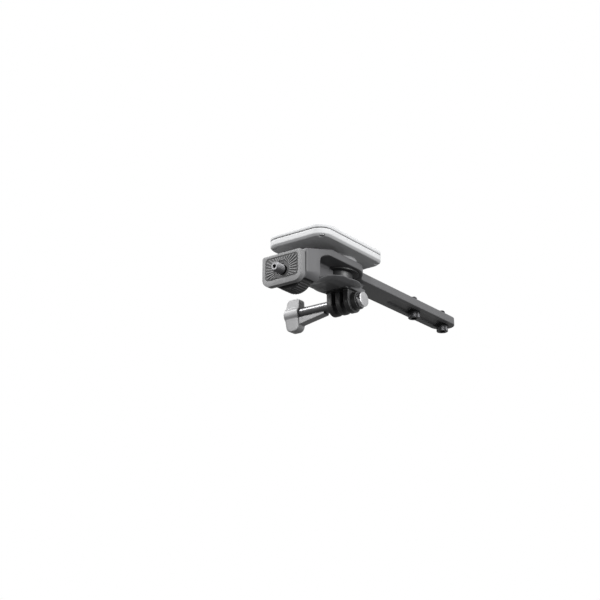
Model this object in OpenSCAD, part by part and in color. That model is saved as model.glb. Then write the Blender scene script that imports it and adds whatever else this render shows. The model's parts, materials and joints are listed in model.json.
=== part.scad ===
// Out-front mount for a handlebar stem: a long arm with a quarter-turn socket that holds a cycling
// computer, a front plate with a camera screw, and a three-finger bracket for a light below.
// +Y points back along the arm to the stem, +Z up, +X to the rider's left.
// The origin is midway between the two stem bolts, on the arm's top face.

/* [Arm] */
// Distance from the computer socket to the middle of the stem bolts
reach = 114.5; // [90:0.5:130]
// Width of the arm
arm_w = 18; // [16:0.5:20]
// Thickness of the arm and of the top plate
arm_t = 5.6; // [5.6:0.1:7]
// Radius of the round plate under the computer
ring_r = 17.2; // [17:0.1:19]
// Distance between the two stem bolts
bolt_gap = 39; // [34:0.5:44]
// Free length of each stem bolt above the arm
bolt_free = 6; // [4:0.5:14]

/* [Nose] */
// Distance from the socket to the front face
nose_reach = 58; // [56:0.5:60]
// Width of the front plate
plate_w = 30; // [29:0.5:31]
// Height of the front plate
plate_h = 20; // [19:0.5:21]
// Thickness of the front plate
plate_t = 4; // [3.5:0.1:4.5]
// Height of the front plate's top edge
plate_top = -7.5; // [-8:0.1:-7.2]
// Radius of the knurled camera wheel
wheel_r = 11.4; // [10:0.1:11.5]
// Free length of the camera screw in front of the pad
stud_free = 7; // [5:0.5:8]
// Radius of the camera screw
stud_r = 3.175; // [3:0.005:3.175]

/* [Light bracket] */
// Depth of the clamp bolt below the arm's top face
finger_z = 22.6; // [22.4:0.1:25]
// Distance of the clamp bolt behind the socket
finger_y = 8; // [6:0.5:9]
// Radius of the round finger ends
finger_r = 7.5; // [7:0.1:8]
// Thickness of the middle finger
finger_t = 3; // [2.8:0.1:3.1]
// Thickness of each outer finger
outer_t = 3.8; // [3:0.1:4.2]
// Gap between two fingers
finger_gap = 3.2; // [3.1:0.1:3.4]
// Length of the sleeve between the fingers and the knob
sleeve_l = 25.5; // [16:0.5:30]

/* [Computer] */
// Width of the computer
comp_w = 46; // [44:0.5:50]
// Length of the computer
comp_l = 70; // [68:0.5:76]
// Thickness of the computer
comp_t = 8.4; // [8.4:0.1:10]
// Distance of the computer's middle in front of the socket
comp_lead = 11; // [9:0.5:13]
// Height of the computer's underside above the arm
comp_z = 4.2; // [4:0.1:5]
// Radius of the computer's corners
comp_r = 9; // [7:0.5:10]

/* [Hidden] */
$fn = 64;

fit = 0.08;              // running clearance round a shaft
gap = 0.3;               // air between two moving faces
eps = 0.01;

// Nose
nose_y = -nose_reach;
block_y = nose_y + plate_t + 1;
roof_y = -28.5;          // where the sloping roof meets the level plate
roof_drop = -plate_top / (nose_reach + roof_y);
skirt_z = -25;           // lowest edge of the two side skirts
ring_t = arm_t - 0.9;    // thickness of the ring round the socket
lower_r = 16;            // radius of the lower plate
stud_z = -18.2;
wheel_front = -50.9;
wheel_back = -40.1;
pocket_front = wheel_front - gap;
pocket_back = wheel_back + gap;
bush_l = 4;
journal_r = 3;
tail_r = 2.2;
pad_w = 25;
pad_h = 14.6;
pad_z = -16.6;

// Quarter-turn socket
socket_r = 14.6;
socket_d = 5.5;
lip_r = 9.3;
lip_t = 1.9;
cavity_r = 12.2;
floor_t = 1.6;
hub_r = 9;
tab_r = 11.9;
tab_w = 7.6;
foot_r = 13.3;

// Light bracket
stack_w = finger_t + 2 * finger_gap + 2 * outer_t;
bracket_z = -13.6;       // seat of the bracket under the lower plate
bracket_t = 2.2;
bolt_r = 2.5;
boss_r = 5.9;
boss_x = stack_w / 2 + 4.2;
nut_x = stack_w / 2 - 0.6;
column_r = 10.4;         // black column between the two plates
column_z = -12.6;
knob_t = 11.5;           // thickness of the wing knob along the bolt

// Computer
comp_top = comp_z + comp_t;
seam_z = comp_z + 4.9;
seam = 0.4;
wall = 1.6;
comp_front = -comp_lead - comp_l / 2;
comp_back = -comp_lead + comp_l / 2;
screw_x = comp_w / 2 - 4.2;
screw_y = comp_l / 2 - 4.2;
key_x = 11.6;            // distance of each rear key from the middle

// ---------- shared shapes ----------

// Moves children from the socket's axis to the part's origin
module from_socket() {
    translate([0, -reach, 0]) children();
}

// Rounded rectangle about the origin
module round_rect(w, h, r) {
    square([w - 2 * r, h], center = true);
    square([w, h - 2 * r], center = true);
    for (sx = [-1, 1], sy = [-1, 1]) {
        translate([sx * (w / 2 - r), sy * (h / 2 - r)]) circle(r);
    }
}

// Cylinder along +Y from y = a to y = b
module bar_y(r, a, b, fn = 64) {
    translate([0, a, 0]) rotate([-90, 0, 0]) cylinder(r = r, h = b - a, $fn = fn);
}

// Cylinder along +X from x = a to x = b
module bar_x(r, a, b, fn = 64) {
    translate([a, 0, 0]) rotate([0, 90, 0]) cylinder(r = r, h = b - a, $fn = fn);
}

// Extrudes a side profile, drawn as (y, z), across the width w
module side_profile(w) {
    translate([-w / 2, 0, 0]) rotate([90, 0, 90]) linear_extrude(w) children();
}

// Extrudes a front profile, drawn as (x, z), from y = a to y = b
module front_profile(a, b) {
    translate([0, b, 0]) rotate([90, 0, 0]) linear_extrude(b - a) children();
}

// Socket-head screw pointing up, its head below z = 0 and its thread above z = shank_l
module cap_screw(r, l, shank_l, head_r, head_h, key_r) {
    difference() {
        union() {
            cylinder(r = r - 0.3, h = shank_l + eps);
            translate([0, 0, shank_l]) cylinder(r = r, h = l - shank_l);
            translate([0, 0, -head_h]) cylinder(r = head_r, h = head_h);
        }
        translate([0, 0, -head_h - eps]) cylinder(r = key_r, h = head_h * 0.6, $fn = 6);
    }
}

// Small countersunk screw pointing down, its flat head at z = 0
module flat_screw(r, l, head_r) {
    difference() {
        union() {
            translate([0, 0, -l]) cylinder(r = r, h = l);
            translate([0, 0, -0.9]) cylinder(r = head_r, h = 0.9);
        }
        translate([0, 0, -0.5]) cylinder(r = head_r * 0.45, h = 1, $fn = 6);
    }
}

// ---------- arm ----------

// Outline of the arm and top plate from above, with a ring of radius r
module plan_outline(r, front_w) {
    fillet_r = 8;
    fillet_y = sqrt(pow(r + fillet_r, 2) - pow(arm_w / 2 + fillet_r, 2));
    circle(r, $fn = 128);
    polygon([
        [-front_w / 2, nose_y], [front_w / 2, nose_y],
        [r - 0.2, roof_y], [r, 0], [-r, 0], [-r + 0.2, roof_y]
    ]);
    translate([-arm_w / 2, 0]) square([arm_w, reach + bolt_gap / 2]);
    translate([0, reach + bolt_gap / 2]) circle(arm_w / 2);
    difference() {
        translate([-arm_w / 2 - fillet_r / 2, 0]) square([arm_w + fillet_r, fillet_y]);
        for (s = [-1, 1]) {
            translate([s * (arm_w / 2 + fillet_r), fillet_y]) circle(fillet_r);
        }
    }
}

// Top plate: level over the ring and arm, sloping down to the nose
module top_plate() {
    long = reach + bolt_gap / 2 + arm_w;
    intersection() {
        translate([0, 0, -40]) linear_extrude(60) plan_outline(ring_r, plate_w);
        side_profile(60) polygon([
            [block_y, roof_drop * (roof_y - block_y) * -1],
            [roof_y, 0], [long, 0], [long, -arm_t], [14, -arm_t], [9, -ring_t],
            [-31, -ring_t], [-36, -ring_t - 1.6], [-39, -ring_t - 3.7], [-39.7, -ring_t - 5.8],
            [block_y, -14]
        ]);
    }
}

// Nose block behind the front plate, with rounded lower edges
module nose_block() {
    intersection() {
        translate([0, 0, -40]) linear_extrude(60) intersection() {
            plan_outline(ring_r, plate_w);
            polygon([
                [-18, nose_y], [18, nose_y], [18, -40.3],
                [12.4, -38.6], [-12.4, -38.6], [-18, -40.3]
            ]);
        }
        side_profile(60) polygon([
            [block_y, -roof_drop * (roof_y - block_y)], [-38.6, -roof_drop * (roof_y + 38.6)],
            [-38.6, -22.5], [-41, skirt_z], [block_y, skirt_z]
        ]);
        front_profile(block_y, -38) {
            translate([0, skirt_z / 2]) round_rect(plate_w + 2, -skirt_z, 7);
            translate([-plate_w / 2 - 3, -10]) square([plate_w + 6, 12]);
        }
    }
}

// Narrow waist between the two plates
module waist() {
    side_profile(9) polygon([[-39, -4], [27, -4], [19, -13], [-10, -13], [-26, -16], [-39, -23]]);
}

// Cross-section of the lower plate: half-width w, top at z = a, bottom at z = b, rounded below
module plate_section(w, a, b) {
    polygon([
        for (s = [1, -1]) for (k = s > 0 ? [0:4] : [4:-1:0])
            [s * (w - [0, 0, 1.2, 4, 9][k]), a + (b - a) * [0, 0.12, 0.3, 0.66, 1][k]]
    ]);
}

// Lower plate: falls from the nose, then level under the socket, with a tongue for the bracket
module lower_plate() {
    stations = [
        [-39, 14.3, -22.2, -24.6], [-34.6, 14.6, -19.3, -22.4], [-29.5, 14.8, -16.7, -20],
        [-22, 15, -14.4, -17.4], [-13, 15.1, -12.2, -16], [-3, 15.1, -12.3, -15.7]
    ];
    for (i = [0:len(stations) - 2]) hull() for (st = [stations[i], stations[i + 1]])
        front_profile(st[0] - eps, st[0] + eps) plate_section(st[1], st[2], st[3]);
    rotate_extrude($fn = 96) intersection() {
        plate_section(lower_r, -12.1, -15.8);
        translate([0, -20]) square([20, 20]);
    }
    translate([0, 10, -15.7]) linear_extrude(3.5) round_rect(stack_w + 3.6, 21, 4);
}

// Outline of the bracket's base and of the level seat above it
module bracket_outline(grow = 0) {
    translate([0, finger_y]) round_rect(stack_w + 1.6 + 2 * grow, 22 + 2 * grow, 3);
}

module arm_body() color([0.2, 0.2, 0.21]) from_socket() {
    difference() {
        union() {
            top_plate();
            nose_block();
            waist();
            lower_plate();
            front_profile(nose_y + plate_t, block_y + 1)
                translate([0, pad_z - 0.5]) round_rect(plate_w - 2, plate_h - 3, 3);
        }
        // seat of the quarter-turn socket and of its column
        translate([0, 0, -socket_d]) cylinder(r = socket_r, h = socket_d + 1, $fn = 96);
        translate([0, 0, column_z]) cylinder(r = column_r, h = 10, $fn = 96);
        translate([0, 0, bracket_z - 10]) linear_extrude(10) bracket_outline(0.1);
        // pocket and bearings of the camera wheel
        translate([0, 0, stud_z]) {
            bar_y(wheel_r + 0.4, pocket_front, pocket_back, 96);
            translate([-wheel_r - 0.4, pocket_front, -12])
                cube([2 * wheel_r + 0.8, pocket_back - pocket_front, 12]);
            bar_y(journal_r + fit, nose_y, pocket_front + 1);
            bar_y(tail_r + 1.2, pocket_back - 1, pocket_back + bush_l);
        }
        // holes for the front plate's screws
        for (s = [-1, 1]) {
            translate([s * 12.6, 0, -12.4]) bar_y(0.9, nose_y, block_y + 5, 32);
        }
        // holes for the light bracket's screws
        at_bracket_screws() translate([0, 0, bracket_z - 1]) cylinder(r = 1.4, h = 5.5);
        // channel under the arm and the two bolt slots
        translate([0, reach, -arm_t - 1]) linear_extrude(2.4) {
            translate([-4.6, -47]) square([9.2, 47 + bolt_gap / 2]);
            translate([0, -47]) circle(4.6);
            translate([0, bolt_gap / 2]) circle(4.6);
        }
        for (s = [-1, 1]) translate([0, reach + s * bolt_gap / 2, -arm_t - 1]) {
            for (t = [-3, 3]) translate([0, t, 0]) cylinder(r = bolt_r + 0.15, h = arm_t + 2);
            translate([-bolt_r - 0.15, -3, 0]) cube([2 * bolt_r + 0.3, 6, arm_t + 2]);
        }
    }
}

// ---------- nose ----------

module plate_outline() {
    translate([0, plate_top - plate_h / 2]) {
        round_rect(plate_w, plate_h, 5.5);
        translate([0, 3]) round_rect(plate_w, plate_h - 6, 1.6);
    }
}

module front_plate() color([0.45, 0.45, 0.46]) from_socket() {
    difference() {
        front_profile(nose_y, nose_y + plate_t) plate_outline();
        front_profile(nose_y - 1, nose_y + 1.2) translate([0, pad_z]) round_rect(pad_w, pad_h, 2.5);
        translate([0, 0, stud_z]) bar_y(stud_r + 0.15, nose_y - 1, nose_y + plate_t + 1);
        for (s = [-1, 1]) {
            translate([s * 12.6, 0, -12.4]) bar_y(1.0, nose_y + 1.2, nose_y + plate_t + 1, 32);
        }
    }
}

// Rubber pad with ribs that fan out from the camera screw
module grip_pad() color([0.4, 0.4, 0.41]) from_socket() {
    base_t = 0.9;
    difference() {
        union() {
            front_profile(nose_y + 1.2 - base_t, nose_y + 1.2)
                translate([0, pad_z]) round_rect(pad_w, pad_h, 2.5);
            intersection() {
                front_profile(nose_y - 0.2, nose_y + 0.5)
                    translate([0, pad_z]) round_rect(pad_w - 1.6, pad_h - 1.6, 1.8);
                translate([0, nose_y + 0.5, stud_z]) rotate([90, 0, 0]) {
                    for (i = [0:35]) rotate(i * 10) translate([6, -0.3, 0]) cube([18, 0.6, 0.7]);
                }
            }
        }
        translate([0, 0, stud_z]) bar_y(stud_r + 0.9, nose_y - 2, nose_y + 2);
    }
}

module plate_screws() color([0.5, 0.5, 0.52]) from_socket() {
    for (s = [-1, 1]) {
        translate([s * 12.6, 0, -12.4]) bar_y(0.9, nose_y + 1.2, block_y + 5, 32);
    }
}

module wheel_bush() color([0.72, 0.6, 0.32]) from_socket() {
    translate([0, 0, stud_z]) difference() {
        bar_y(tail_r + 1.2, pocket_back, pocket_back + bush_l);
        bar_y(tail_r + fit, pocket_back - 1, pocket_back + bush_l + 1);
    }
}

// Steel screw for the camera: thread in front, journal in the block, tail in the bush
module camera_stud() color([0.7, 0.7, 0.72]) from_socket() {
    translate([0, 0, stud_z]) difference() {
        union() {
            bar_y(stud_r, nose_y - stud_free, nose_y);
            bar_y(stud_r - 0.3, nose_y - eps, nose_y + plate_t - 0.3);
            bar_y(journal_r, nose_y + plate_t - 0.4, wheel_front + 1);
            bar_y(tail_r + 0.4, wheel_front + 0.9, wheel_back);
            bar_y(tail_r, wheel_back - 0.1, pocket_back + bush_l - 0.4);
        }
        bar_y(1.3, nose_y - stud_free - 1, nose_y - stud_free + 2.4, 6);
    }
}

module camera_wheel() color([0.13, 0.13, 0.14]) from_socket() {
    ribs = 40;
    rib_r = 0.45;
    grub_y = (wheel_front + wheel_back) / 2;
    translate([0, 0, stud_z]) difference() {
        union() {
            bar_y(wheel_r - 0.5, wheel_front, wheel_back, 96);
            for (i = [0:ribs - 1]) rotate([0, i * 360 / ribs, 0])
                translate([wheel_r - rib_r, 0, 0]) bar_y(rib_r, wheel_front + 0.8, wheel_back - 0.8, 16);
        }
        bar_y(journal_r, wheel_front - 1, wheel_front + 1);
        bar_y(tail_r + 0.4, wheel_front, wheel_back + 1);
        translate([0, grub_y, 0]) cylinder(r = 1, h = wheel_r + 1, $fn = 32);
    }
}

module wheel_grub_screw() color([0.3, 0.3, 0.31]) from_socket() {
    translate([0, (wheel_front + wheel_back) / 2, stud_z + tail_r + 0.4])
        cylinder(r = 1, h = 4, $fn = 32);
}

// ---------- quarter-turn socket ----------

// Socket with the column that carries it down to the lower plate
module turn_socket() color([0.1, 0.1, 0.11]) from_socket() {
    difference() {
        union() {
            translate([0, 0, -socket_d]) cylinder(r = socket_r, h = socket_d, $fn = 96);
            translate([0, 0, column_z]) cylinder(r = column_r, h = -column_z - 1, $fn = 96);
        }
        translate([0, 0, -lip_t - 1]) cylinder(r = lip_r, h = lip_t + 2, $fn = 96);
        translate([0, 0, -socket_d + floor_t])
            cylinder(r = cavity_r, h = socket_d - floor_t - lip_t, $fn = 96);
        intersection() {
            translate([0, 0, -lip_t - 1]) cylinder(r = cavity_r, h = lip_t + 2, $fn = 96);
            translate([-20, -tab_w / 2 - 0.4, -lip_t - 1]) cube([40, tab_w + 0.8, lip_t + 2]);
        }
        for (a = [90, 210, 330]) {
            rotate(a) translate([6.2, 0, 0]) {
                translate([0, 0, -socket_d + floor_t - 5.6]) cylinder(r = 1.1, h = 8);
                translate([0, 0, -socket_d + floor_t - 0.9]) cylinder(r = 2, h = 2);
            }
        }
        rotate(30) translate([6.2, 0, -7.4]) cylinder(r = 1.2, h = 6);
        at_bracket_screws() translate([0, 0, column_z - 1]) cylinder(r = 1.4, h = 3.6);
    }
}

module socket_screws() color([0.5, 0.5, 0.52]) from_socket() {
    for (a = [90, 210, 330]) {
        rotate(a) translate([6.2, 0, -socket_d + floor_t]) flat_screw(1.1, 5.4, 2);
    }
}

module detent_ball() color([0.75, 0.75, 0.77]) from_socket() {
    rotate(30) translate([6.2, 0, -4.75]) sphere(1.05);
}

module detent_spring() color([0.6, 0.6, 0.62]) from_socket() {
    rotate(30) translate([6.2, 0, -7.1]) rotate_extrude() translate([0.85, 0]) circle(0.25, $fn = 16);
}

// ---------- light bracket ----------

// Moves children to the clamp bolt's axis
module at_clamp() {
    translate([0, finger_y, -finger_z]) children();
}

module at_bracket_screws() {
    for (s = [-1, 1]) translate([0, finger_y + s * 8.6, 0]) children();
}

// One finger with its round end and its root in the base
module finger_plate(x0, t) {
    translate([x0, 0, 0]) {
        bar_x(finger_r, 0, t);
        translate([0, -finger_r, 0]) cube([t, 2 * finger_r, finger_z + bracket_z - 1]);
    }
}

module light_bracket() color([0.12, 0.12, 0.13]) from_socket() {
    difference() {
        union() {
            translate([0, 0, bracket_z - bracket_t]) linear_extrude(bracket_t) bracket_outline();
            at_clamp() {
                finger_plate(-finger_t / 2, finger_t);
                for (s = [-1, 1]) finger_plate(s * (stack_w - outer_t) / 2 - outer_t / 2, outer_t);
                bar_x(boss_r, stack_w / 2 - 0.5, boss_x);
            }
        }
        at_clamp() {
            bar_x(bolt_r + fit, -stack_w, boss_x + 1);
            bar_x(4.62, nut_x, boss_x + 1, 6);
        }
        at_bracket_screws() translate([0, 0, bracket_z - bracket_t - 1]) {
            cylinder(r = 1.4, h = 5);
            cylinder(r = 2.4, h = 2.2);
        }
    }
}

module bracket_screws() color([0.35, 0.35, 0.36]) from_socket() {
    at_bracket_screws() translate([0, 0, bracket_z - bracket_t + 0.1]) {
        cylinder(r = 2.4, h = 1.1);
        cylinder(r = 1.4, h = 5.6);
    }
}

module captive_nut() color([0.72, 0.72, 0.74]) from_socket() at_clamp() {
    difference() {
        bar_x(4.62, nut_x, nut_x + 4, 6);
        bar_x(bolt_r + fit, nut_x - 1, boss_x);
    }
}

module clamp_bolt() color([0.7, 0.7, 0.72]) from_socket() at_clamp() {
    bar_x(bolt_r, -stack_w / 2 - gap - sleeve_l - 6, boss_x + 2);
}

module clamp_sleeve() color([0.22, 0.22, 0.23]) from_socket() at_clamp() {
    end_x = -stack_w / 2 - gap;
    difference() {
        union() {
            bar_x(4, end_x - sleeve_l, end_x);
            bar_x(4.8, end_x - 1.4, end_x);
        }
        bar_x(bolt_r, end_x - sleeve_l - 1, end_x + 1);
    }
}

// Knob with two broad wings and a web that runs out under the sleeve
module wing_knob() color([0.62, 0.62, 0.63]) from_socket() at_clamp() {
    web_l = 0.8 * sleeve_l;
    translate([-stack_w / 2 - gap - sleeve_l, 0, 0]) difference() {
        union() {
            bar_x(5.2, -knob_t, 0);
            knob_wing(8.2, 2.4, -2.6, 3.2);
            mirror([0, 0, 1]) knob_wing(8.6, 3.4, -3.4, 3.4);
            side_web(web_l);
        }
        bar_x(bolt_r, -6, 1);
        bar_x(4.02, 0, web_l + 1);
    }
}

// One wing of the knob: out to the height h with corners of radius r, between y = a and y = b
module knob_wing(h, r, a, b) {
    hull() {
        for (x = [-r, r - knob_t + 1]) translate([x, 0, h]) bar_y(r, a, b, 32);
        for (x = [-3, 3 - knob_t]) translate([x, 0, 0]) bar_y(3, a - 0.8, b + 0.8, 32);
    }
}

// Tapered web below the sleeve, from inside the knob to x = l
module side_web(l) {
    translate([0, 3, 0]) rotate([90, 0, 0]) linear_extrude(6)
        polygon([[-6, -3], [l, -3], [l, -4.5], [0, -8], [-6, -10]]);
}

module end_cap() color([0.85, 0.85, 0.86]) from_socket() at_clamp() {
    difference() {
        union() {
            bar_x(3.4, boss_x + gap, boss_x + 1);
            bar_x(4.9, boss_x + 0.9, boss_x + 3.4);
        }
        bar_x(bolt_r, boss_x, boss_x + 2);
    }
}

// ---------- stem bolts ----------

module stem_bolt() {
    seat = -arm_t + 1.4 - 0.8;
    translate([0, 0, seat]) cap_screw(bolt_r, bolt_free - seat, -seat, 4.2, 5, 2.3);
}

module stem_bolt_front() color([0.15, 0.15, 0.16]) {
    translate([0, -bolt_gap / 2, 0]) stem_bolt();
}

module stem_bolt_rear() color([0.15, 0.15, 0.16]) {
    translate([0, bolt_gap / 2, 0]) stem_bolt();
}

module bolt_washers() color([0.25, 0.25, 0.26]) {
    for (s = [-1, 1]) translate([0, s * bolt_gap / 2, -arm_t + 0.6]) difference() {
        cylinder(r = 4.4, h = 0.8);
        translate([0, 0, -1]) cylinder(r = bolt_r, h = 3);
    }
}

// ---------- computer ----------

module comp_outline(inset = 0) {
    translate([0, -comp_lead]) {
        round_rect(comp_w - 2 * inset, comp_l - 2 * inset, comp_r - inset);
    }
}

// One slab of the casing, its outline shrunk by a at the bottom and by b at the top
module tapered_slab(z0, z1, a, b) {
    hull() {
        translate([0, 0, z0]) linear_extrude(0.02) comp_outline(a, $fn = 32);
        translate([0, 0, z1 - 0.02]) linear_extrude(0.02) comp_outline(b, $fn = 32);
    }
}

module at_corners() {
    for (sx = [-1, 1], sy = [-1, 1]) {
        translate([sx * screw_x, -comp_lead + sy * screw_y, 0]) children();
    }
}

// Lower casing with its corner posts and the openings in its rear wall
module back_shell() color([0.86, 0.87, 0.87]) from_socket() {
    difference() {
        union() {
            difference() {
                union() {
                    tapered_slab(comp_z, comp_z + 1.3, 1.5, 0);
                    translate([0, 0, comp_z + 1.2]) linear_extrude(seam_z - comp_z - 1.2) comp_outline();
                }
                translate([0, 0, comp_z + 1.4]) linear_extrude(10) comp_outline(wall);
            }
            intersection() {
                translate([0, 0, comp_z + 1.3]) linear_extrude(seam_z - comp_z - 1.3) comp_outline(0.5);
                at_corners() cylinder(r = 2.2, h = seam_z);
            }
        }
        at_corners() translate([0, 0, comp_z - 1]) {
            cylinder(r = 0.9, h = 12, $fn = 32);
            cylinder(r = 1.7, h = 2.4, $fn = 32);
        }
        for (s = [-1, 1]) translate([s * 10, 0, comp_z - 1]) cylinder(r = 0.9, h = 5, $fn = 32);
        // charging port and the two rear keys
        translate([-5, comp_back - 3, 6.1]) cube([10, 4, 2.6]);
        for (s = [-1, 1]) translate([s * key_x - 3.7, comp_back - 3, 6]) cube([7.4, 4, 2.6]);
        // power key in the right wall
        translate([-comp_w / 2 - 1, -comp_lead - 3.7, 6]) cube([4, 7.4, 2.6]);
    }
}

module top_bezel() color([0.9, 0.9, 0.9]) from_socket() {
    difference() {
        union() {
            translate([0, 0, seam_z + seam]) linear_extrude(comp_top - seam_z - seam - 1) comp_outline();
            tapered_slab(comp_top - 1.1, comp_top - 0.2, 0, 0.8);
        }
        translate([0, 0, seam_z]) linear_extrude(comp_top - seam_z - 1) comp_outline(3.4);
        translate([0, 0, comp_top - 1.1]) linear_extrude(3) comp_outline(2);
        at_corners() translate([0, 0, seam_z]) cylinder(r = 0.8, h = 2.2, $fn = 32);
    }
}

module cover_glass() color([0.93, 0.94, 0.95]) from_socket() {
    translate([0, 0, comp_top - 1.1]) linear_extrude(1.1) comp_outline(2.08);
}

module display_panel() color([0.75, 0.77, 0.78]) from_socket() {
    translate([-18, -comp_lead - 29, comp_top - 2.1]) cube([36, 58, 1]);
}

module shell_gasket() color([0.3, 0.3, 0.31]) from_socket() {
    difference() {
        translate([0, 0, seam_z]) linear_extrude(seam) difference() {
            comp_outline(0.5);
            comp_outline(3);
        }
        at_corners() translate([0, 0, seam_z - 1]) cylinder(r = 0.8, h = 3, $fn = 32);
    }
}

module mid_frame() color([0.5, 0.5, 0.52]) from_socket() {
    translate([0, 0, comp_top - 2.7]) linear_extrude(0.6) comp_outline(3.6);
}

module main_board() color([0.1, 0.32, 0.2]) from_socket() {
    translate([-18, comp_front + 7.5, comp_top - 3.8]) cube([36, 25, 0.8]);
}

module shield_can() color([0.75, 0.75, 0.76]) from_socket() {
    translate([-15, comp_front + 13, comp_top - 5.2]) cube([16, 13, 1.4]);
}

module satellite_antenna() color([0.8, 0.75, 0.65]) from_socket() {
    translate([4, comp_front + 9, comp_top - 5.8]) cube([10, 10, 2]);
}

module battery() color([0.6, 0.62, 0.64]) from_socket() {
    translate([0, -1, comp_z + 1.5]) linear_extrude(2.9) round_rect(35, 29, 2);
}

module usb_socket() color([0.7, 0.7, 0.72]) from_socket() {
    difference() {
        translate([-4.5, comp_back - 7.2, 6.1]) cube([9, 6.2, 2.6]);
        translate([-3.8, comp_back - 6, 6.7]) cube([7.6, 8, 1.4]);
    }
}

module buzzer() color([0.2, 0.2, 0.2]) from_socket() {
    translate([9, comp_front + 25.5, comp_z + 1.5]) cylinder(r = 4.5, h = 2);
}

module button_switches() color([0.6, 0.6, 0.6]) from_socket() {
    for (s = [-1, 1]) translate([s * key_x - 2, comp_back - 6, 6.2]) cube([4, 2.2, 2.2]);
    translate([-comp_w / 2 + 3.8, -comp_lead - 2, 6.2]) cube([1.2, 4, 2.2]);
}

module shell_screws() color([0.55, 0.55, 0.57]) from_socket() {
    at_corners() {
        translate([0, 0, comp_z + 0.5]) cylinder(r = 1.7, h = 0.9, $fn = 32);
        translate([0, 0, comp_z + 0.5]) cylinder(r = 0.8, h = 6, $fn = 32);
    }
}

// Bayonet foot under the computer
module turn_foot() color([0.8, 0.81, 0.82]) from_socket() {
    difference() {
        union() {
            translate([0, 0, gap]) cylinder(r = foot_r, h = comp_z - gap, $fn = 96);
            translate([0, 0, -3.5]) cylinder(r = hub_r, h = 4, $fn = 96);
            intersection() {
                translate([0, 0, -3.5]) cylinder(r = tab_r, h = 1.3, $fn = 96);
                translate([-tab_w / 2, -20, -4]) cube([tab_w, 40, 3]);
            }
        }
        for (s = [-1, 1]) translate([s * 10, 0, 0]) {
            cylinder(r = 0.9, h = 8, $fn = 32);
            cylinder(r = 1.8, h = 1.6, $fn = 32);
        }
    }
}

module foot_screws() color([0.55, 0.55, 0.57]) from_socket() {
    for (s = [-1, 1]) translate([s * 10, 0, 0.6]) {
        cylinder(r = 1.8, h = 1, $fn = 32);
        cylinder(r = 0.9, h = comp_z + 0.6, $fn = 32);
    }
}

// One rear key: a flange inside the wall, a cap outside
module rear_key(x) {
    translate([x - 3.55, comp_back - 2, 6.15]) cube([7.1, 2.8, 2.3]);
    translate([x - 4.4, comp_back - 2.7, 5.8]) cube([8.8, 0.8, 3]);
}

module start_button() color([0.55, 0.56, 0.57]) from_socket() rear_key(key_x);

module lap_button() color([0.55, 0.56, 0.57]) from_socket() rear_key(-key_x);

module power_button() color([0.55, 0.56, 0.57]) from_socket() {
    translate([-comp_w / 2 - 0.8, -comp_lead - 3.55, 6.15]) cube([2.8, 7.1, 2.3]);
    translate([-comp_w / 2 + 1.9, -comp_lead - 4.4, 5.8]) cube([0.8, 8.8, 3]);
}

// Rubber flap over the charging port, hinged on its lower edge
module port_cover() color([0.5, 0.51, 0.52]) from_socket() {
    translate([-4.8, comp_back - 0.5, 6.3]) cube([9.6, 0.9, 2]);
    translate([-6.5, comp_back + 0.1, 5.6]) cube([13, 0.9, 3.4]);
    translate([0, comp_back + 0.55, 5.6]) bar_x(0.45, -6.5, 6.5, 24);
}

arm_body();
front_plate();
grip_pad();
plate_screws();
turn_socket();
socket_screws();
detent_ball();
detent_spring();
light_bracket();
bracket_screws();
captive_nut();
stem_bolt_front();
stem_bolt_rear();
bolt_washers();
wheel_bush();
camera_stud();
camera_wheel();
wheel_grub_screw();
clamp_bolt();
clamp_sleeve();
wing_knob();
end_cap();
back_shell();
top_bezel();
cover_glass();
display_panel();
shell_gasket();
mid_frame();
main_board();
shield_can();
satellite_antenna();
battery();
usb_socket();
buzzer();
button_switches();
shell_screws();
turn_foot();
foot_screws();
power_button();
start_button();
lap_button();
port_cover();
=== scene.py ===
"""Looks of an out-front stem mount that carries a cycling computer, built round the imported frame."""

import json
import math

import bpy
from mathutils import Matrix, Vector


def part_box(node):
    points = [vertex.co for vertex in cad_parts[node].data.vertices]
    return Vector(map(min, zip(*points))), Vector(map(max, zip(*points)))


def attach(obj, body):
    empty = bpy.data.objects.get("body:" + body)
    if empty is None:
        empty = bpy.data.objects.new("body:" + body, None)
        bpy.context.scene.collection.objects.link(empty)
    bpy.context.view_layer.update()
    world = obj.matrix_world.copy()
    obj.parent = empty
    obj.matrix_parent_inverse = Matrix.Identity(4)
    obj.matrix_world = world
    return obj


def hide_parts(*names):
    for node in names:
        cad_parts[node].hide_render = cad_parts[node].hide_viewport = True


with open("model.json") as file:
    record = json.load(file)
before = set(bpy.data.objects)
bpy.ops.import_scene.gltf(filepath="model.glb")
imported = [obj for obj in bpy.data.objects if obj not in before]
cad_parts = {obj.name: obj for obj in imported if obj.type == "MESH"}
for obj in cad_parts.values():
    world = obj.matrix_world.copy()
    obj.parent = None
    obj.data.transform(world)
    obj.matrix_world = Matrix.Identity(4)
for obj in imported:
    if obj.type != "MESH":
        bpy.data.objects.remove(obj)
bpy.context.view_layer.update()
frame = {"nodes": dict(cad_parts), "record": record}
bpy.ops.object.select_all(action="DESELECT")

MM = 0.001


# ---------------------------------------------------------------- camera, light and floor


def add_camera():
    """A camera below and in front of the mount, looking up at it and back."""
    data = bpy.data.cameras.new("camera")
    data.sensor_width = 36.0
    data.lens = 70.68
    data.clip_start = 0.01
    camera = bpy.data.objects.new("camera", data)
    bpy.context.collection.objects.link(camera)
    azimuth = math.radians(37.1)
    elevation = math.radians(-19.0)
    back = Vector(
        (
            math.sin(azimuth) * math.cos(elevation),
            -math.cos(azimuth) * math.cos(elevation),
            math.sin(elevation),
        )
    )
    camera.location = (0.4147, -0.7021, -0.2696)
    camera.rotation_mode = "QUATERNION"
    camera.rotation_quaternion = (-back).to_track_quat("-Z", "Y")
    bpy.context.scene.camera = camera


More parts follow.
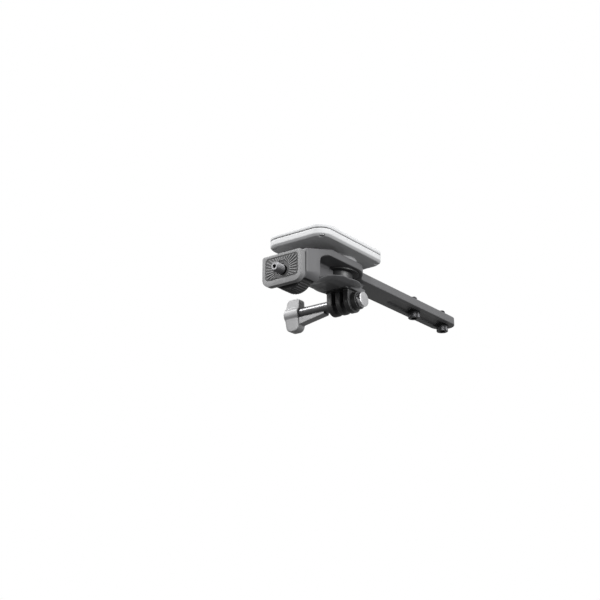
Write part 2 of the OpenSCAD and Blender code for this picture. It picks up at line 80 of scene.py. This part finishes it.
def add_lamp(name, place, aim, size, power):
    data = bpy.data.lights.new(name, "AREA")
    data.shape = "SQUARE"
    data.size = size
    data.energy = power
    lamp = bpy.data.objects.new(name, data)
    bpy.context.collection.objects.link(lamp)
    lamp.location = place
    lamp.rotation_mode = "QUATERNION"
    lamp.rotation_quaternion = (Vector(aim) - Vector(place)).to_track_quat("-Z", "Y")


def add_studio():
    """A white room that is bright above and dim below, four soft lamps and a pale floor."""
    middle = (0.0, -0.09, 0.0)
    add_lamp("key", (0.35, -0.4, 0.8), middle, 0.5, 7.0)
    add_lamp("front", (-0.3, -1.1, 0.3), middle, 0.6, 9.0)
    add_lamp("over", (-0.8, -0.45, 0.75), middle, 0.35, 9.0)
    add_lamp("side", (1.1, 0.0, 0.12), middle, 0.6, 14.0)
    world = bpy.data.worlds.new("studio")
    bpy.context.scene.world = world
    world.use_nodes = True
    tree = world.node_tree
    tree.nodes.clear()
    place = tree.nodes.new("ShaderNodeTexCoord")
    split = tree.nodes.new("ShaderNodeSeparateXYZ")
    ramp = tree.nodes.new("ShaderNodeMapRange")
    ramp.inputs["From Min"].default_value = -0.9
    ramp.inputs["From Max"].default_value = 0.7
    ramp.inputs["To Min"].default_value = 0.14
    ramp.inputs["To Max"].default_value = 0.8
    path = tree.nodes.new("ShaderNodeLightPath")
    room = tree.nodes.new("ShaderNodeBackground")
    room.inputs["Color"].default_value = (1.0, 1.0, 1.0, 1.0)
    wall = tree.nodes.new("ShaderNodeBackground")
    wall.inputs["Color"].default_value = (1.0, 1.0, 1.0, 1.0)
    mixed = tree.nodes.new("ShaderNodeMixShader")
    out = tree.nodes.new("ShaderNodeOutputWorld")
    tree.links.new(place.outputs["Generated"], split.inputs[0])
    tree.links.new(split.outputs["Z"], ramp.inputs["Value"])
    tree.links.new(ramp.outputs["Result"], room.inputs["Strength"])
    tree.links.new(path.outputs["Is Camera Ray"], mixed.inputs[0])
    tree.links.new(room.outputs[0], mixed.inputs[1])
    tree.links.new(wall.outputs[0], mixed.inputs[2])
    tree.links.new(mixed.outputs[0], out.inputs["Surface"])
    bpy.context.scene.view_settings.view_transform = "Standard"
    bpy.ops.mesh.primitive_plane_add(size=30.0, location=(0.0, 0.0, -0.36))
    floor = bpy.context.object
    floor.name = "floor"
    floor.visible_diffuse = False
    floor.visible_glossy = False
    bpy.ops.object.select_all(action="DESELECT")
    return floor


add_camera()
floor = add_studio()


# ---------------------------------------------------------------- finishes


class Wire:
    """One output socket, so that shader maths reads as an expression."""

    def __init__(self, finish, socket):
        self.finish = finish
        self.socket = socket

    def maths(self, operation, *values):
        return self.finish.node("ShaderNodeMath", {"operation": operation}, list(values))

    def __add__(self, other):
        return self.maths("ADD", self, other)

    __radd__ = __add__

    def __mul__(self, other):
        return self.maths("MULTIPLY", self, other)

    __rmul__ = __mul__

    def __sub__(self, other):
        return self.maths("SUBTRACT", self, other)

    def __rsub__(self, other):
        return self.maths("SUBTRACT", other, self)

    def clamp(self, low, high):
        return self.finish.node("ShaderNodeClamp", {}, [self, low, high])

    def above(self, start, end):
        """0 below start, 1 above end and even between them."""
        return self.finish.node("ShaderNodeMapRange", {"clamp": True}, [self, start, end, 0.0, 1.0])


class Finish:
    """A named material, made one node at a time round its main shader."""

    def __init__(self, name):
        self.material = bpy.data.materials.new(name)
        self.material.use_nodes = True
        self.tree = self.material.node_tree
        self.shader = self.tree.nodes["Principled BSDF"]
        self.place = self.node("ShaderNodeTexCoord", out="Object")

    def node(self, kind, settings=None, values=None, out=0):
        made = self.tree.nodes.new(kind)
        for key, value in (settings or {}).items():
            if key == "stops":
                while len(made.color_ramp.elements) < len(value):
                    made.color_ramp.elements.new(1.0)
                for element, (position, colour) in zip(made.color_ramp.elements, value):
                    element.position = position
                    element.color = (*colour, 1.0)
            else:
                setattr(made, key, value)
        if isinstance(values, list):
            values = dict(enumerate(values))
        for key, value in (values or {}).items():
            self.feed(made.inputs[key], value)
        return Wire(self, made.outputs[out])

    def feed(self, socket, value):
        if isinstance(value, Wire):
            self.tree.links.new(value.socket, socket)
        elif isinstance(value, tuple) and socket.type == "RGBA":
            socket.default_value = (*value[:3], 1.0)
        else:
            socket.default_value = value

    def set(self, **values):
        """Feeds the main shader: base_color=..., roughness=... and so on."""
        for key, value in values.items():
            self.feed(self.shader.inputs[key.replace("_", " ").title().replace("Ior", "IOR")], value)
        return self

    def noise(self, scale, detail=3.0, roughness=0.55, place=None):
        return self.node(
            "ShaderNodeTexNoise",
            {},
            {"Vector": place or self.place, "Scale": scale, "Detail": detail, "Roughness": roughness},
        )

    def stretched(self, x, y, z):
        """Object coordinates scaled along each axis, for drawn or brushed grain."""
        return self.node("ShaderNodeMapping", {}, {"Vector": self.place, "Scale": (x, y, z)})

    def mix(self, factor, first, second):
        return self.node("ShaderNodeMix", {"data_type": "RGBA"}, {0: factor, 6: first, 7: second}, out=2)

    def bump(self, height, depth, under=None):
        values = {"Height": height, "Distance": depth, "Strength": 1.0}
        if under:
            values["Normal"] = under
        return self.node("ShaderNodeBump", {}, values)

    def edges(self, low, high):
        """1 on outer edges and 0 elsewhere."""
        return self.node("ShaderNodeNewGeometry", out="Pointiness").above(low, high)


def shade(colour, factor):
    return tuple(min(1.0, c * factor) for c in colour)


def moulded(name, colour, rough, grain=0.03, spread=0.12, wear=0.35, scale=2600.0):
    """Moulded plastic: fine eroded grain, faint flow marks and edges polished by handling."""
    f = Finish(name)
    cloud = f.noise(45.0, 4.0)
    fine = f.noise(scale, 2.0, 0.6)
    rub = f.edges(0.52, 0.62) * f.noise(260.0, 3.0).above(0.35, 0.65)
    tone = f.mix(cloud, shade(colour, 1.0 - spread), shade(colour, 1.0 + spread))
    tone = f.mix(rub * wear, tone, shade(colour, 1.9))
    roughness = (cloud * 0.12 + rough - 0.06 + fine * 0.06 - rub * 0.12).clamp(0.05, 1.0)
    f.set(base_color=tone, roughness=roughness, normal=f.bump(fine, grain * MM))
    return f.material


def rubber(name, colour, rough=0.78):
    """Rubber: dull, with a dusty bloom and a soft cast surface."""
    f = Finish(name)
    bloom = f.noise(130.0, 5.0, 0.65).above(0.4, 0.75)
    fine = f.noise(1500.0, 3.0)
    tone = f.mix(bloom * 0.5, colour, shade(colour, 1.45))
    f.set(base_color=tone, roughness=(bloom * 0.12 + rough).clamp(0.1, 1.0))
    f.set(normal=f.bump(fine, 0.03 * MM), sheen_weight=0.2, sheen_roughness=0.5)
    return f.material


def ribbed(name, colour, dark, low, high):
    """Ribbed rubber whose grooves, further back along +Y than the ribs, carry painted shade: a darker
    colour standing in for the shade that falls in them.
    """
    f = Finish(name)
    split = f.node("ShaderNodeSeparateXYZ", {}, [f.place])
    # painted shade mask: 1 in the grooves, which lie further back along +Y than the rib fronts
    depth = Wire(f, split.socket.node.outputs[1]).above(low, high)
    fine = f.noise(1500.0, 3.0)
    bloom = f.noise(160.0, 4.0).above(0.4, 0.75)
    tone = f.mix(bloom * 0.35, colour, shade(colour, 1.3))
    # the grooves take the darker colour as painted shade
    f.set(base_color=f.mix(depth, tone, dark), roughness=(bloom * 0.1 + 0.72).clamp(0.1, 1.0))
    f.set(normal=f.bump(fine, 0.02 * MM), sheen_weight=0.15, sheen_roughness=0.5)
    return f.material


def turned(name, colour, rough, axis, lines=9000.0, depth=0.006, metal=1.0):
    """Turned metal: fine rings round an axis, with dull and bright patches."""
    f = Finish(name)
    scales = [60.0, 60.0, 60.0]
    scales["xyz".index(axis)] = lines
    rings = f.noise(1.0, 2.0, 0.5, f.stretched(*scales))
    patch = f.noise(420.0, 4.0)
    tone = f.mix(patch, shade(colour, 0.82), shade(colour, 1.12))
    roughness = (patch * 0.16 + rings * 0.1 + rough - 0.12).clamp(0.05, 1.0)
    f.set(base_color=tone, metallic=metal, roughness=roughness, normal=f.bump(rings, depth * MM))
    return f.material


def oxide(name, colour, rough=0.42):
    """Black oxide on steel: dark, slightly oily, with bright rubbed edges."""
    f = Finish(name)
    patch = f.noise(500.0, 5.0, 0.6)
    rub = f.edges(0.52, 0.6) * f.noise(900.0, 3.0).above(0.4, 0.6)
    tone = f.mix(patch, shade(colour, 0.7), shade(colour, 1.5))
    tone = f.mix(rub * 0.6, tone, (0.32, 0.32, 0.33))
    f.set(base_color=tone, metallic=0.85, roughness=(patch * 0.2 + rough - 0.1).clamp(0.05, 1.0))
    f.set(normal=f.bump(patch, 0.01 * MM))
    return f.material


def painted(name, colour, rough=0.35, coat=0.25):
    """A satin coat over cast metal: even, with a little orange peel."""
    f = Finish(name)
    peel = f.noise(700.0, 2.0, 0.4)
    cloud = f.noise(60.0, 3.0)
    tone = f.mix(cloud, shade(colour, 0.92), shade(colour, 1.08))
    f.set(base_color=tone, roughness=(cloud * 0.1 + rough - 0.05).clamp(0.05, 1.0))
    f.set(metallic=0.35, coat_weight=coat, coat_roughness=0.3, normal=f.bump(peel, 0.012 * MM))
    return f.material


def band(value, centre, half, blur):
    """1 where a value lies within half of a centre and 0 outside, with a soft edge."""
    away = value.maths("ABSOLUTE", value - centre)
    return 1.0 - away.above(half - blur, half + blur)


def lit_screen(name, border, paper, ink):
    """Cover glass: a dark printed border round a screen with plain data fields and a hill line."""
    low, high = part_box("display_panel")
    middle = (low + high) / 2
    wide = (high.x - low.x) / 2
    long = (high.y - low.y) / 2
    f = Finish(name)
    spot = f.node("ShaderNodeSeparateXYZ", {}, [f.place])
    across = spot
    along = Wire(f, spot.socket.node.outputs[1])
    blur = 0.05 * MM
    panel = band(across, middle.x, wide - MM, blur) * band(along, middle.y, long - MM, blur)
    rules = band(along, middle.y + 0.28 * long, 0.14 * MM, blur)
    for share in (0.62, -0.12):
        rules = rules + band(along, middle.y + share * long, 0.14 * MM, blur)
    split = band(across, middle.x, 0.14 * MM, blur)
    split = split * (along - (middle.y - 0.12 * long)).above(0.0, blur)
    split = split * (1.0 - (along - (middle.y + 0.62 * long)).above(0.0, blur))
    ridge = f.noise(1.0, 3.0, 0.5, f.stretched(95.0, 0.0, 0.0)) * (0.5 * long)
    ridge = ridge + (middle.y - 0.78 * long)
    hill = (ridge - along).above(0.0, blur) * (along - (middle.y - 0.88 * long)).above(0.0, blur)
    inked = ((rules + split) * 0.7 + hill * 0.55).clamp(0.0, 1.0)
    smear = f.noise(1.0, 4.0, 0.6, f.stretched(60.0, 200.0, 60.0)).above(0.45, 0.8)
    screen = f.mix(inked, paper, ink)
    f.set(base_color=f.mix(panel, border, screen), coat_weight=0.8, coat_roughness=0.04)
    f.set(roughness=(smear * 0.14 + 0.08 + panel * 0.1).clamp(0.03, 1.0))
    f.set(normal=f.bump(smear, 0.002 * MM))
    return f.material


ARM_GREY = (0.075, 0.075, 0.078)
pad_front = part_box("grip_pad")[0].y
finishes = {
    "arm_composite": moulded("arm_composite", ARM_GREY, 0.46, grain=0.03),
    "plate_plastic": moulded("plate_plastic", (0.13, 0.13, 0.132), 0.5),
    "pad_rubber": ribbed(
        "pad_rubber",
        (0.15, 0.15, 0.152),
        # darker colour: painted shade for the grooves between the ribs
        (0.05, 0.05, 0.051),
        pad_front + 0.1 * MM,
        pad_front + 0.4 * MM,
    ),
    "socket_plastic": moulded("socket_plastic", (0.02, 0.02, 0.021), 0.4),
    "bracket_plastic": moulded("bracket_plastic", (0.018, 0.018, 0.019), 0.38, grain=0.02),
    "wheel_plastic": moulded("wheel_plastic", (0.022, 0.022, 0.023), 0.5),
    "steel": turned("steel", (0.62, 0.62, 0.63), 0.28, "y"),
    "dull_steel": turned("dull_steel", (0.17, 0.17, 0.175), 0.5, "y"),
    "cover_screw": painted("cover_screw", (0.4, 0.404, 0.41)),
    "black_steel": oxide("black_steel", (0.04, 0.04, 0.042)),
    "bronze": turned("bronze", (0.55, 0.4, 0.2), 0.4, "y"),
    "sleeve_metal": turned("sleeve_metal", (0.09, 0.09, 0.093), 0.3, "x"),
    "knob_metal": painted("knob_metal", (0.2, 0.2, 0.203), rough=0.48, coat=0.1),
    "casing_plastic": moulded(
        "casing_plastic", (0.42, 0.424, 0.43), 0.55, grain=0.012, spread=0.03, wear=0.0
    ),
    "screen_glass": lit_screen(
        "screen_glass", (0.012, 0.012, 0.013), (0.3, 0.325, 0.315), (0.03, 0.034, 0.036)
    ),
    "display": moulded("display", (0.35, 0.37, 0.36), 0.3),
    "seal_rubber": rubber("seal_rubber", (0.05, 0.05, 0.05)),
    "frame_metal": turned("frame_metal", (0.5, 0.5, 0.52), 0.35, "y"),
    "board": moulded("board", (0.01, 0.09, 0.04), 0.35),
    "ceramic": moulded("ceramic", (0.6, 0.55, 0.42), 0.5),
    "battery_foil": painted("battery_foil", (0.4, 0.41, 0.42)),
    "key_rubber": rubber("key_rubber", (0.3, 0.305, 0.31)),
    "floor": moulded("floor_paint", (0.8, 0.8, 0.8), 0.9, wear=0.0, spread=0.01),
}
floor.data.materials.append(finishes["floor"])
slot_of = {part["node"]: part["material_slot"] for part in frame["record"]["subparts"]}
for node, made in frame["nodes"].items():
    made.data.materials.clear()
    made.data.materials.append(finishes[slot_of[node]])

# ---------------------------------------------------------------- making tools


def select_only(piece):
    bpy.ops.object.select_all(action="DESELECT")
    piece.select_set(True)
    bpy.context.view_layer.objects.active = piece


def apply_modifier(piece, kind, **settings):
    select_only(piece)
    made = piece.modifiers.new(kind.lower(), kind)
    for key, value in settings.items():
        setattr(made, key, value)
    bpy.ops.object.modifier_apply(modifier=made.name)


def edit_all(piece, *steps):
    """Runs mesh operators, given as (operator, settings), on every face of a piece."""
    select_only(piece)
    bpy.ops.object.mode_set(mode="EDIT")
    for operator, settings in steps:
        bpy.ops.mesh.select_all(action="SELECT")
        operator(**settings)
    bpy.ops.object.mode_set(mode="OBJECT")


def copy_of(node, name):
    """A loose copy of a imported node, its doubled corners merged and its flat faces whole."""
    piece = bpy.data.objects.new(name, frame["nodes"][node].data.copy())
    bpy.context.collection.objects.link(piece)
    select_only(piece)
    bpy.ops.mesh.customdata_custom_splitnormals_clear()
    edit_all(
        piece,
        (bpy.ops.mesh.remove_doubles, {"threshold": 0.001 * MM}),
        (bpy.ops.mesh.dissolve_limited, {"angle_limit": math.radians(0.6)}),
    )
    return piece


def dress(piece, body, slot, *nodes, smooth=32):
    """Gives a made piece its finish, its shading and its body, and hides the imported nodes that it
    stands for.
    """
    piece.data.materials.clear()
    piece.data.materials.append(finishes[slot])
    select_only(piece)
    bpy.ops.object.shade_smooth_by_angle(angle=math.radians(smooth))
    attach(piece, body)
    if nodes:
        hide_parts(*nodes)
    return piece


def softened(node, name, body, width=0.2, angle=35, smooth=32):
    """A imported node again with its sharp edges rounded."""
    piece = copy_of(node, name)
    apply_modifier(
        piece,
        "BEVEL",
        width=width * MM,
        segments=3,
        limit_method="ANGLE",
        angle_limit=math.radians(angle),
        use_clamp_overlap=True,
        miter_outer="MITER_ARC",
    )
    return dress(piece, body, slot_of[node], node, smooth=smooth)


def cast(node, name, body, voxel, passes, keep=0.4, smooth=50):
    """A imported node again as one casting, its corners and its joins blended by smoothing."""
    piece = copy_of(node, name)
    apply_modifier(piece, "REMESH", mode="VOXEL", voxel_size=voxel * MM)
    apply_modifier(piece, "SMOOTH", factor=0.5, iterations=passes)
    apply_modifier(piece, "DECIMATE", ratio=keep)
    return dress(piece, body, slot_of[node], node, smooth=smooth)


def thread(name, radius, pitch, length, depth, tip):
    """A threaded rod along +Z from 0 to length, its tip chamfered over the last stretch."""
    turns = int(length / pitch) + 3
    outline = []
    for turn in range(turns):
        start = (turn - 2) * pitch
        crest = [(radius, start + 0.38 * pitch), (radius, start + 0.55 * pitch)]
        outline += [(radius - depth, start)] + crest
    data = bpy.data.meshes.new(name)
    edges = [(i, i + 1) for i in range(len(outline) - 1)]
    data.from_pydata([(r, 0.0, z) for r, z in outline], edges, [])
    rod = bpy.data.objects.new(name, data)
    bpy.context.collection.objects.link(rod)
    apply_modifier(
        rod,
        "SCREW",
        axis="Z",
        angle=2 * math.pi,
        screw_offset=pitch,
        steps=36,
        render_steps=36,
        use_merge_vertices=True,
        merge_threshold=0.002 * MM,
    )
    edit_all(rod, (bpy.ops.mesh.remove_doubles, {"threshold": 0.004 * MM}))
    for height, side in ((0.0, "clear_inner"), (length, "clear_outer")):
        edit_all(
            rod,
            (
                bpy.ops.mesh.bisect,
                {"plane_co": (0, 0, height), "plane_no": (0, 0, 1), "use_fill": True, side: True},
            ),
        )
    for point in rod.data.vertices:
        limit = radius - max(0.0, point.co.z - (length - tip))
        reach = math.hypot(point.co.x, point.co.y)
        if reach > limit:
            point.co.x *= limit / reach
            point.co.y *= limit / reach
    edit_all(rod, (bpy.ops.mesh.normals_make_consistent, {"inside": False}))
    return rod


def cylinder(name, radius, start, end, axis="z", sides=64):
    """A cylinder between two points that lie along one axis."""
    turn = {"x": (0, math.pi / 2, 0), "y": (math.pi / 2, 0, 0), "z": (0, 0, 0)}[axis]
    middle = (Vector(start) + Vector(end)) / 2
    long = (Vector(end) - Vector(start)).length
    bpy.ops.mesh.primitive_cylinder_add(
        vertices=sides, radius=radius, depth=long, location=middle, rotation=turn
    )
    piece = bpy.context.object
    piece.name = name
    bpy.ops.object.transform_apply(location=True, rotation=True, scale=True)
    return piece


def combine(piece, other, operation):
    """Adds or cuts one solid with another, which is used up."""
    apply_modifier(piece, "BOOLEAN", object=other, operation=operation, solver="EXACT")
    bpy.data.objects.remove(other)


# ---------------------------------------------------------------- mount


def make_arm():
    cast("arm_body", "arm_casting", "mount", voxel=0.42, passes=4)


def make_small_mouldings():
    softened("front_plate", "front_plate_moulding", "mount", 0.6)
    dress(copy_of("grip_pad", "ribbed_grip_pad"), "mount", "pad_rubber", "grip_pad")
    softened("turn_socket", "turn_socket_moulding", "mount", 0.25)
    cast("light_bracket", "light_bracket_moulding", "mount", voxel=0.26, passes=4, keep=0.5)
    softened("camera_wheel", "camera_wheel_knurled", "camera_screw", 0.12)
    softened("clamp_sleeve", "clamp_sleeve_turned", "light_screw", 0.3)
    softened("end_cap", "end_cap_turned", "light_screw", 0.3)
    softened("bolt_washers", "bolt_washers_pressed", "mount", 0.12)
    cast("wing_knob", "wing_knob_casting", "light_screw", voxel=0.32, passes=9, keep=0.5, smooth=60)


def make_camera_stud():
    """Camera screw with a real thread and a hexagon in its tip."""
    low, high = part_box("camera_stud")
    axis = (low + high) / 2
    radius = (high.x - low.x) / 2
    free = 6.9 * MM
    key_depth = 2.4 * MM
    rod = thread(
        "camera_stud_threaded", radius, pitch=1.27 * MM, length=free, depth=0.45 * MM, tip=0.9 * MM
    )
    rod.rotation_euler = (math.pi / 2, 0, 0)
    rod.location = (axis.x, low.y + free, axis.z)
    select_only(rod)
    bpy.ops.object.transform_apply(location=True, rotation=True, scale=True)
    shank_start = (axis.x, low.y + free - MM, axis.z)
    shank_end = (axis.x, high.y, axis.z)
    combine(rod, cylinder("shank", radius - 0.5 * MM, shank_start, shank_end, "y"), "UNION")
    key_start = (axis.x, low.y - MM, axis.z)
    key_end = (axis.x, low.y + key_depth, axis.z)
    combine(rod, cylinder("key", 1.45 * MM, key_start, key_end, "y", sides=6), "DIFFERENCE")
    dress(rod, "camera_screw", "dull_steel", "camera_stud")


def make_stem_bolt(node, name):
    """Socket-head bolt: knurled head with a hexagon below, thread above."""
    low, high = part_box(node)
    axis = (low + high) / 2
    head_h = 5.0 * MM
    head_r = (high.x - low.x) / 2
    teeth = 36
    root = 0.965
    key_depth = 3 * MM
    overlap = 0.5 * MM
    head_top = low.z + head_h
    head = cylinder(name, head_r, (axis.x, axis.y, low.z), (axis.x, axis.y, head_top), sides=2 * teeth)
    for point in head.data.vertices:
        angle = math.atan2(point.co.y - axis.y, point.co.x - axis.x)
        if round(angle / (math.pi / teeth)) % 2:
            point.co.x = axis.x + (point.co.x - axis.x) * root
            point.co.y = axis.y + (point.co.y - axis.y) * root
    apply_modifier(
        head, "BEVEL", width=0.35 * MM, segments=3, limit_method="ANGLE", angle_limit=math.radians(60)
    )
    key_start = (axis.x, axis.y, low.z - MM)
    key_end = (axis.x, axis.y, low.z + key_depth)
    combine(head, cylinder("key", 2.35 * MM, key_start, key_end, sides=6), "DIFFERENCE")
    length = high.z - head_top + overlap
    rod = thread("rod", 2.5 * MM, pitch=0.8 * MM, length=length, depth=0.35 * MM, tip=0.7 * MM)
    rod.location = (axis.x, axis.y, head_top - overlap)
    select_only(rod)
    bpy.ops.object.transform_apply(location=True, rotation=True, scale=True)
    combine(head, rod, "UNION")
    dress(head, "mount", "black_steel", node)


# ---------------------------------------------------------------- computer


def make_computer():
    cast("back_shell", "back_shell_moulding", "computer", voxel=0.4, passes=3, keep=0.45)
    cast("top_bezel", "top_bezel_moulding", "computer", voxel=0.36, passes=3, keep=0.45)
    softened("turn_foot", "turn_foot_moulding", "computer", 0.2)
    softened("cover_glass", "cover_glass_ground", "computer", 0.3)
    for key in ("power", "start", "lap"):
        softened(key + "_button", key + "_button_moulding", key + "_key", 0.35)
    softened("port_cover", "port_cover_moulding", "port_flap", 0.3)


make_arm()
make_small_mouldings()
make_camera_stud()
make_stem_bolt("stem_bolt_front", "stem_bolt_front_knurled")
make_stem_bolt("stem_bolt_rear", "stem_bolt_rear_knurled")
make_computer()
